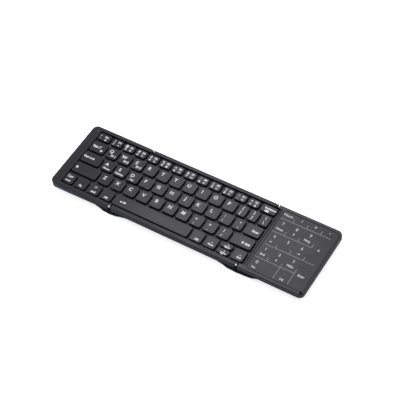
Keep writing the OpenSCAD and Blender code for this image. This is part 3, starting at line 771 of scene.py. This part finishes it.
# Home, End and page keys: a word, the arrow behind it, the word's place and its width
MOVES = [("Home", ":left", 45.5, -36.2, 7.2), ("PgUp", ":up", 63.7, -31, 6.8),
         ("PgDn", ":down", 63.7, -40.2, 6.8), ("End", ":right", 82.2, -36.5, 5.2)]
MOVE_TALL, ARROW_BEHIND, ARROW_TALL = 2.3, 3.1, 2.5


def cap_marks():
    """Every mark on the caps: word or :sign, x, y, height, and width if it is set, in mm."""
    marks = []
    for letters, x, y in LETTER_ROWS:
        marks += [(letter, x + LETTER_PITCH * i, y, LETTER_TALL) for i, letter in enumerate(letters)]
    for i, (shifted, plain, sign) in enumerate(zip(SHIFTED, NUMBERS, NUMBER_SIGNS)):
        x = FIRST_NUMBER + NUMBER_PITCH * i
        marks += [(shifted, x, NUMBER_REAR, NUMBER_TALL), (plain, x, NUMBER_FRONT, NUMBER_TALL),
                  (f"F{i + 1}", x + F_RIGHT, NUMBER_REAR, F_TALL, F_WIDE),
                  (sign, x + F_RIGHT, SIGN_FRONT, SIGN_TALL)]
    marks += SINGLE_MARKS
    for i, x in enumerate(RADIO_X):
        marks += [(":radio", x, RADIO_Y, RADIO_TALL), (str(i + 1), x + RADIO_RIGHT, RADIO_Y, NUMBER_TALL)]
    for shifted, plain, x, rear, front in PAIRS:
        marks += [(shifted, x, rear, PAIR_TALL), (plain, x, front, PAIR_TALL)]
    for word, arrow, x, y, width in MOVES:
        marks += [(word, x, y, MOVE_TALL, width), (arrow, x, y + ARROW_BEHIND, ARROW_TALL)]
    return marks


def put_mark(bm, surface, bold, what, x, y, height, width=None):
    """Prints one mark of a list, as a word or as a sign."""
    # A colon alone is a mark, not the start of a sign's name
    if what[0] == ":" and len(what) > 1:
        print_sign(bm, what[1:], x, y, height, surface)
    else:
        heavy = bold + SMALL_BOLD if height < SMALL_MARK else bold
        print_word(bm, what, x, y, height, width, surface, heavy)


def print_caps():
    """The marks on the caps of each key node, as one piece that moves with it."""
    sheets = {}
    for mark in cap_marks():
        cap = next(c for c in CAPS if c.holds(mark[1], mark[2]))
        if cap.node not in sheets:
            sheets[cap.node] = bmesh.new()
        put_mark(sheets[cap.node], cap.height, CAP_BOLD, *mark)
    for node, bm in sorted(sheets.items()):
        piece = place_mesh(node + "_print", bm, [white_ink])
        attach(piece, BODY_OF[node])


print_caps()

# Marks on the touchpad, written as the caps' are
PAD_MARKS = [
    ("Num", 102.6, 39.4, 3.6, 11), ("/", 120, 39.4, 3.6), (":star", 137.4, 39.4, 3),
    ("-", 155, 39.4, 4), ("Home", 102.8, 18.3, 2.7, 8.4), (":up", 120.1, 19.2, 3.2),
    ("PgUp", 137.6, 18.3, 2.7, 7.6), ("+", 155, 13, 4.4), (":left", 102.5, -1.2, 3.2),
    (":right", 138, -1.2, 3.2), ("End", 102.9, -20.3, 2.7, 5.6), (":down", 120.3, -20.3, 3.2),
    ("PgDn", 137.6, -20.3, 2.7, 7.6), ("Enter", 154.8, -25.9, 2.8, 8), ("0", 102.8, -32, 4),
    ("Ins", 102.8, -39.6, 2.7, 4.4), (".", 137.5, -31.6, 4), ("Del", 137.7, -39.5, 2.7, 4.6),
]
FIGURE_ROWS = [("789", 26.7), ("456", 7.0), ("123", -12.3)]
FIGURE_X, FIGURE_PITCH, FIGURE_TALL = 102.8, 17.6, 3.7
# Cell lines along X: both ends and y
CELL_LINES = [(96, 159.5, 32.8), (96, 146.2, 12.8), (98, 160, -6.5), (97, 146.2, -26.0)]
# Short lines along Y, just behind the cell lines: x, and at how many of those, from the rear
TICKS = [(111.3, 4), (128.7, 3), (146.2, 3)]
TICK_LONG = 5
# Longer lines along Y: x and both ends
COLUMN_LINES = [(128.7, -43, -21), (146.2, -41.5, -20.5)]
# Half a line's width, and how thick the lines along Y are, so that no two faces lie in one plane
LINE_HALF = 0.36
COLUMN_T = 0.8 * INK_T


def print_touchpad():
    """The number pad printed on the touchpad: figures in white, cell lines in grey."""
    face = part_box("touchpad_glass")[1].z / MM
    under = level(face - INK_T)
    marks = list(PAD_MARKS)
    for row, y in FIGURE_ROWS:
        for i, figure in enumerate(row):
            marks.append((figure, FIGURE_X + FIGURE_PITCH * i, y, FIGURE_TALL))
    bm = bmesh.new()
    for mark in marks:
        put_mark(bm, level(face), 0, *mark)
    figures = place_mesh("touchpad_figures", bm, [white_ink])
    bm = bmesh.new()
    for x0, x1, y in CELL_LINES:
        slab(bm, box_shape(x0, x1, y - LINE_HALF, y + LINE_HALF), under, level(face + INK_T))
    ticks = [(x, y, y + TICK_LONG) for x, count in TICKS for _, _, y in CELL_LINES[:count]]
    for x, y0, y1 in ticks + COLUMN_LINES:
        slab(bm, box_shape(x - LINE_HALF, x + LINE_HALF, y0, y1), under, level(face + COLUMN_T))
    lines = place_mesh("touchpad_lines", bm, [grey_ink])
    for piece in (figures, lines):
        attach(piece, BODY_OF["touchpad_glass"])


print_touchpad()


# ---- Trim ----
# The corners of the touchpad's glass, and how far inside its edge the gasket starts and ends
GLASS_R = 4.5
GASKET_OUT, GASKET_IN = 0.15, 0.65
GASKET_SUNK, GASKET_RISE = 0.02, 0.03
# A bumper's seat: its outer and inner radius, and how far under and over the bezel's face it lies
SEAT_OUT, SEAT_IN = 1.88, 1.42
SEAT_SUNK, SEAT_RISE = 0.05, 0.02
SEAT_SIDES = 24
# The lip: how far left of the keys it starts and ends, and how far past them it runs
LIP_OUT, LIP_IN, LIP_PAST = 1.7, 0.2, 0.9
# How far under the bezel's face its underside and its top are
LIP_UNDER, LIP_TOP = 2.4, 0.15
# The dark line: how far left of the keys it starts and ends
GROOVE_OUT, GROOVE_IN = 5.2, 4.85
GROOVE_SUNK, GROOVE_RISE = 0.05, 0.01


def annulus(bm, outer, inner, bottom, top):
    """A flat closed band between two outlines with the same number of points."""
    rings = [[bm.verts.new((x, y, z)) for x, y in outline]
             for outline, z in ((outer, bottom), (outer, top), (inner, top), (inner, bottom))]
    for first, second in zip(rings, rings[1:] + rings[:1]):
        bridge(bm, first, second)


def make_gasket():
    """The foam line round the edge of the touchpad's glass."""
    low, high = (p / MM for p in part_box("touchpad_glass"))
    outer, inner = [rounded_outline(low.x + inset, high.x - inset, low.y + inset, high.y - inset,
                                    GLASS_R - inset) for inset in (GASKET_OUT, GASKET_IN)]
    bm = bmesh.new()
    annulus(bm, outer, inner, high.z - GASKET_SUNK, high.z + GASKET_RISE)
    piece = place_mesh("touchpad_gasket", bm, [foam])
    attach(piece, BODY_OF["touchpad_glass"])


def make_seats():
    """The dark ring round each bumper."""
    for node, bezel in (("left_bumper", "left_bezel"), ("right_bumper", "right_bezel")):
        low, high = (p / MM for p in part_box(node))
        x, y = (low.x + high.x) / 2, (low.y + high.y) / 2
        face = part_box(bezel)[1].z / MM
        bm = bmesh.new()
        outer, inner = disc(x, y, SEAT_OUT, SEAT_SIDES), disc(x, y, SEAT_IN, SEAT_SIDES)
        annulus(bm, outer, inner, face - SEAT_SUNK, face + SEAT_RISE)
        piece = place_mesh(node + "_seat", bm, [foam])
        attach(piece, BODY_OF[node])


def make_lip():
    """The slim lip that brings the left bezel up to the keys, and the fine dark line beside it."""
    left = min(cap.x0 for cap in CAPS)
    front, rear = min(cap.y0 for cap in CAPS) - LIP_PAST, max(cap.y1 for cap in CAPS) + LIP_PAST
    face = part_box("left_bezel")[1].z / MM
    bm = bmesh.new()
    slab(bm, box_shape(left - LIP_OUT, left - LIP_IN, front, rear), level(face - LIP_UNDER),
         level(face - LIP_TOP))
    slab(bm, box_shape(left - GROOVE_OUT, left - GROOVE_IN, front, rear), level(face - GROOVE_SUNK),
         level(face + GROOVE_RISE), finish=1)
    piece = place_mesh("left_bezel_lip", bm, [shaded_left_lacquer, foam])
    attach(piece, BODY_OF["left_bezel"])


make_gasket()
make_seats()
make_lip()


# ---- Hinge pins ----
# A pin's outline from its inner end: how far from its tip, and its radius
PIN_ROD = [(5.2, 0.0), (5.2, 0.75), (2.5, 0.75), (2.5, 1.35), (2.35, 1.5), (2.05, 1.5), (1.9, 1.4),
           (1.9, 1.25), (0.7, 1.25)]
# The dome at the tip, with rings at these angles in radians
DOME_DEPTH, DOME_R = 0.7, 1.25
DOME_ANGLES = (0.35, 0.7, 1.05, 1.35)
# The pin is polished this near to its tip
POLISHED = 2.0
PIN_SIDES = 24
PIN_ROUND = 35


def pin_ring(bm, x, y, r):
    """Points round a pin's axis, or the one point where the pin has no width."""
    turns = [2 * math.pi * i / PIN_SIDES for i in range(PIN_SIDES if r else 1)]
    return [bm.verts.new((x + r * math.cos(turn), y, AXIS_Z + r * math.sin(turn))) for turn in turns]


def make_pins():
    """Each pin: a rod, a blackened collar and a small polished dome at its outer end."""
    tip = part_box("hinge_pins")[1].y / MM
    dome = [(DOME_DEPTH * (1 - math.sin(a)), DOME_R * math.cos(a)) for a in DOME_ANGLES]
    profile = PIN_ROD + dome + [(0, 0)]
    bm = bmesh.new()
    for side in (-1, 1):
        for end in (-1, 1):
            rings = [pin_ring(bm, side * HINGE_X, end * (tip - back), r) for back, r in profile]
            for (back, _), a, b in zip(profile, rings, rings[1:]):
                for i in range(PIN_SIDES):
                    j = (i + 1) % PIN_SIDES
                    corners = (a[i % len(a)], a[j % len(a)], b[j % len(b)], b[i % len(b)])
                    face = bm.faces.new(list(dict.fromkeys(corners)))
                    face.material_index = 1 if back < POLISHED else 0
    piece = place_mesh("hinge_pin_heads", bm, [oxide_steel, polished_steel], smooth=PIN_ROUND)
    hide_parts("hinge_pins")
    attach(piece, "centre")


make_pins()


# ---- Leather ----
# Half the width of the roll that bends under a hinge
ROLLED = 4.2
# Each side's roll, towards the centre and towards the wing: how far from the hinge the leather lies
# flat again, and how far from it the leather stands proud of the trays. The right roll is the looser.
ROLLS = {-1: ((22, 15), (20, 15)), 1: ((25, 18), (28, 27))}
# How far it stands proud, and over how many mm that fades out
ROLL_PROUD = 1.1
PROUD_FADE = 8
# Thicker leather under a wing, which widens the band of its blue cut edge as a painted blue reflection:
# how far from the hinge it starts to swell, and over how many mm
PAD_FROM, PAD_SWELL = 25, 35
# How far inside the trays' sides the sheet ends, and up to how many degrees an edge is shaded round
SHEET_INSET = 0.05
SHEET_ROUND = 40
# The sheet's mesh: strips along it, and lines across it. Those are a mm apart as far as LOOSE from a
# hinge, and further apart where it is flat, which on the wing is from WING_FLAT on. Each half of a
# roll, and each corner, has a number of its own.
STRIPS = 16
LOOSE, WING_FLAT = 28, 32
FLAT_STEP = 6.0
ROLL_LINES = 18
CORNER_LINES = 8


def leather_bottom(u, ramp):
    """Height of the leather's underside u mm from a hinge: it sags off the roll to lie flat at `ramp`."""
    u = abs(u)
    if u >= ramp:
        return LEATHER_Z
    if u <= ROLLED:
        return AXIS_Z - math.sqrt(SPINE_R ** 2 - max(u, FOOT_STRIP_W / 2) ** 2)
    low = AXIS_Z - math.sqrt(SPINE_R ** 2 - ROLLED ** 2)
    return low + (LEATHER_Z - low) * ((u - ROLLED) / (ramp - ROLLED)) ** 2


def roll_end(u, reach):
    """How far the leather stands proud u mm from a hinge: in full at the roll, and not past `reach`."""
    near = min(1, max(0, (reach - abs(u)) / PROUD_FADE))
    return ROLL_PROUD * near * near * (3 - 2 * near)


def half_depth(x):
    """Half the leather's depth at x: full depth, rounded off at the corners."""
    r = CORNER_R - SHEET_INSET
    into = x - (END_X - SHEET_INSET - r)
    half = EDGE_Y - SHEET_INSET
    return half if into <= 0 else half - r + math.sqrt(max(0, r * r - into * into))


def leather_stations():
    """Places along X, from the middle of the keyboard to its end."""
    flat = HINGE_X + WING_FLAT
    r = CORNER_R - SHEET_INSET
    end = END_X - SHEET_INSET
    stations = [i * FLAT_STEP for i in range(int((HINGE_X - LOOSE) / FLAT_STEP) + 1)]
    stations += [HINGE_X + u for u in range(-LOOSE, LOOSE + 1) if abs(u) > ROLLED]
    stations += [HINGE_X + ROLLED * i / ROLL_LINES for i in range(-ROLL_LINES, ROLL_LINES + 1)]
    stations += [flat + i * FLAT_STEP for i in range(int((end - r - flat) / FLAT_STEP))]
    stations += [end - r + r * math.sin(math.pi / 2 * i / CORNER_LINES) for i in range(CORNER_LINES + 1)]
    return sorted(x for x in stations if x <= end)


def leather_skin(bm, upper, lower):
    """Faces over both sides of a sheet, in leather, and round its cut edges, in edge paint with a painted
    blue sheen.
    """
    def patch(finish, *corners):
        """One face, in the first or the second finish."""
        bm.faces.new(corners).material_index = finish

    for sheet in (upper, lower):
        for a, b in zip(sheet, sheet[1:]):
            for j in range(STRIPS):
                patch(0, a[j], a[j + 1], b[j + 1], b[j])
    for j in (0, STRIPS):
        for a, b, c, d in zip(upper, upper[1:], lower, lower[1:]):
            patch(1, a[j], b[j], d[j], c[j])
    for top, bottom in ((upper[0], lower[0]), (upper[-1], lower[-1])):
        for j in range(STRIPS):
            patch(1, top[j], top[j + 1], bottom[j + 1], bottom[j])


def make_leather(side, name, nodes, pad):
    """One sheet from the middle to a wing's end, rolled under the hinge and `pad` mm thicker past it,
    which widens its band of painted blue edge.
    """
    bm = bmesh.new()
    uv = bm.loops.layers.uv.new("hide")
    upper, lower = [], []
    along = {}
    run = 0
    previous = None
    for x in leather_stations():
        u = x - HINGE_X
        ramp, reach = ROLLS[side][u > 0]
        z = leather_bottom(u, ramp)
        full = pad * min(1, max(0, (u - PAD_FROM) / PAD_SWELL))
        if previous:
            run += math.hypot(x - previous[0], z - previous[1])
        previous = (x, z)
        half = half_depth(x) + roll_end(u, reach)
        depths = [half * math.sin(math.pi / 2 * (2 * j / STRIPS - 1)) for j in range(STRIPS + 1)]
        lower.append([bm.verts.new((side * x, y, z - full)) for y in depths])
        upper.append([bm.verts.new((side * x, y, z + LEATHER_T)) for y in depths])
        along.update(dict.fromkeys(lower[-1] + upper[-1], run * MM))
    leather_skin(bm, upper, lower)
    for face in bm.faces:
        for loop in face.loops:
            loop[uv].uv = (along[loop.vert], loop.vert.co.y * MM)
    piece = place_mesh(name, bm, [hide, edge_paint_and_sheen], smooth=SHEET_ROUND)
    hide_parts(*nodes)
    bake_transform(piece)


LEFT_NODES = ["left_leather", "left_spine", "centre_leather"]
RIGHT_NODES = ["right_leather", "right_spine"]
# The left sheet is thicker past its hinge so that its blue edge shows wider: painted blue reflection at
# the left front corner
LEFT_PAD = 1.2
make_leather(-1, "left_leather_sheet", LEFT_NODES, LEFT_PAD)
make_leather(1, "right_leather_sheet", RIGHT_NODES, 0)


# ---- Stage and light ----
PAPER = "#e8e8ea"
WHITE = (1, 1, 1, 1)
# Half the floor's width in mm, and how far under the foot strips it lies, in metres
FLOOR_HALF = 4000
FLOOR_GAP = 0.0002
# How much the floor glows where the camera sees it, and where a reflection shows it
FLOOR_LIFT, FLOOR_GLOW = 0.68, 0.12
# The way to the brightest part of the sky
SKY_MIDDLE = (-0.42, 0.47, 0.78)
# The light is least and greatest where the cosine of the angle from there is this, and this strong
SKY_EDGE, SKY_FULL = -0.1, 0.9
SKY_LOW, SKY_HIGH = 0.2, 1.0
# The softbox: place and size in metres, its turn in degrees and its power in watts
SOFTBOX_PLACE = (-0.11, 0.22, 0.42)
SOFTBOX_SIZE = (0.33, 0.25)
SOFTBOX_TURN = -20
SOFTBOX_POWER = 0.61


def floor_paper():
    """Grey paper: matte, and lifted to white where the camera sees it."""
    made, tree = empty_material("paper_floor")
    paper = add(tree, "ShaderNodeBsdfDiffuse", {"Color": colour(PAPER)})
    rays = add(tree, "ShaderNodeLightPath")
    faint = add(tree, "ShaderNodeMath", {1: FLOOR_GLOW}, {0: rays.outputs["Is Glossy Ray"]},
                operation="MULTIPLY")
    lift = add(tree, "ShaderNodeMath", {1: FLOOR_LIFT},
               {0: rays.outputs["Is Camera Ray"], 2: faint.outputs[0]}, operation="MULTIPLY_ADD")
    glow = add(tree, "ShaderNodeEmission", {"Color": WHITE}, {"Strength": lift.outputs[0]})
    both = add(tree, "ShaderNodeAddShader", links={0: paper.outputs[0], 1: glow.outputs[0]})
    add(tree, "ShaderNodeOutputMaterial", links={"Surface": both.outputs[0]})
    return made


def make_floor():
    """A wide sheet of paper just under the foot strips."""
    bm = bmesh.new()
    bmesh.ops.create_grid(bm, x_segments=1, y_segments=1, size=FLOOR_HALF)
    floor = place_mesh("floor", bm, [floor_paper()])
    floor.location.z = -FLOOR_GAP


def make_world():
    """A soft light that is brightest behind and above the keyboard, and white where the camera sees it."""
    world = bpy.data.worlds.new("studio")
    bpy.context.scene.world = world
    world.use_nodes = True
    tree = world.node_tree
    tree.nodes.clear()
    way = add(tree, "ShaderNodeTexCoord")
    facing = add(tree, "ShaderNodeVectorMath", {1: SKY_MIDDLE}, {0: way.outputs["Generated"]},
                 operation="DOT_PRODUCT")
    strength = add(tree, "ShaderNodeMapRange",
                   {"From Min": SKY_EDGE, "From Max": SKY_FULL, "To Min": SKY_LOW, "To Max": SKY_HIGH},
                   {"Value": facing.outputs["Value"]})
    rays = add(tree, "ShaderNodeLightPath")
    shown = add(tree, "ShaderNodeMath",
                links={0: rays.outputs["Is Camera Ray"], 1: strength.outputs["Result"]},
                operation="MAXIMUM")
    sky = add(tree, "ShaderNodeBackground", {"Color": WHITE}, {"Strength": shown.outputs[0]})
    add(tree, "ShaderNodeOutputWorld", links={"Surface": sky.outputs[0]})


def make_lamp(name, place, size, turn, power):
    """A flat lamp aimed at the keyboard and turned about its own axis by some degrees."""
    data = bpy.data.lights.new(name, "AREA")
    data.shape = "RECTANGLE"
    data.size, data.size_y = size
    data.energy = power
    lamp = bpy.data.objects.new(name, data)
    lamp.location = place
    lamp.rotation_mode = "QUATERNION"
    spin = Quaternion((0, 0, 1), math.radians(turn))
    lamp.rotation_quaternion = Vector(place).to_track_quat("Z", "Y") @ spin
    bpy.context.scene.collection.objects.link(lamp)


make_floor()
make_world()
make_lamp("softbox", SOFTBOX_PLACE, SOFTBOX_SIZE, SOFTBOX_TURN, SOFTBOX_POWER)
bpy.context.scene.view_settings.view_transform = "Standard"
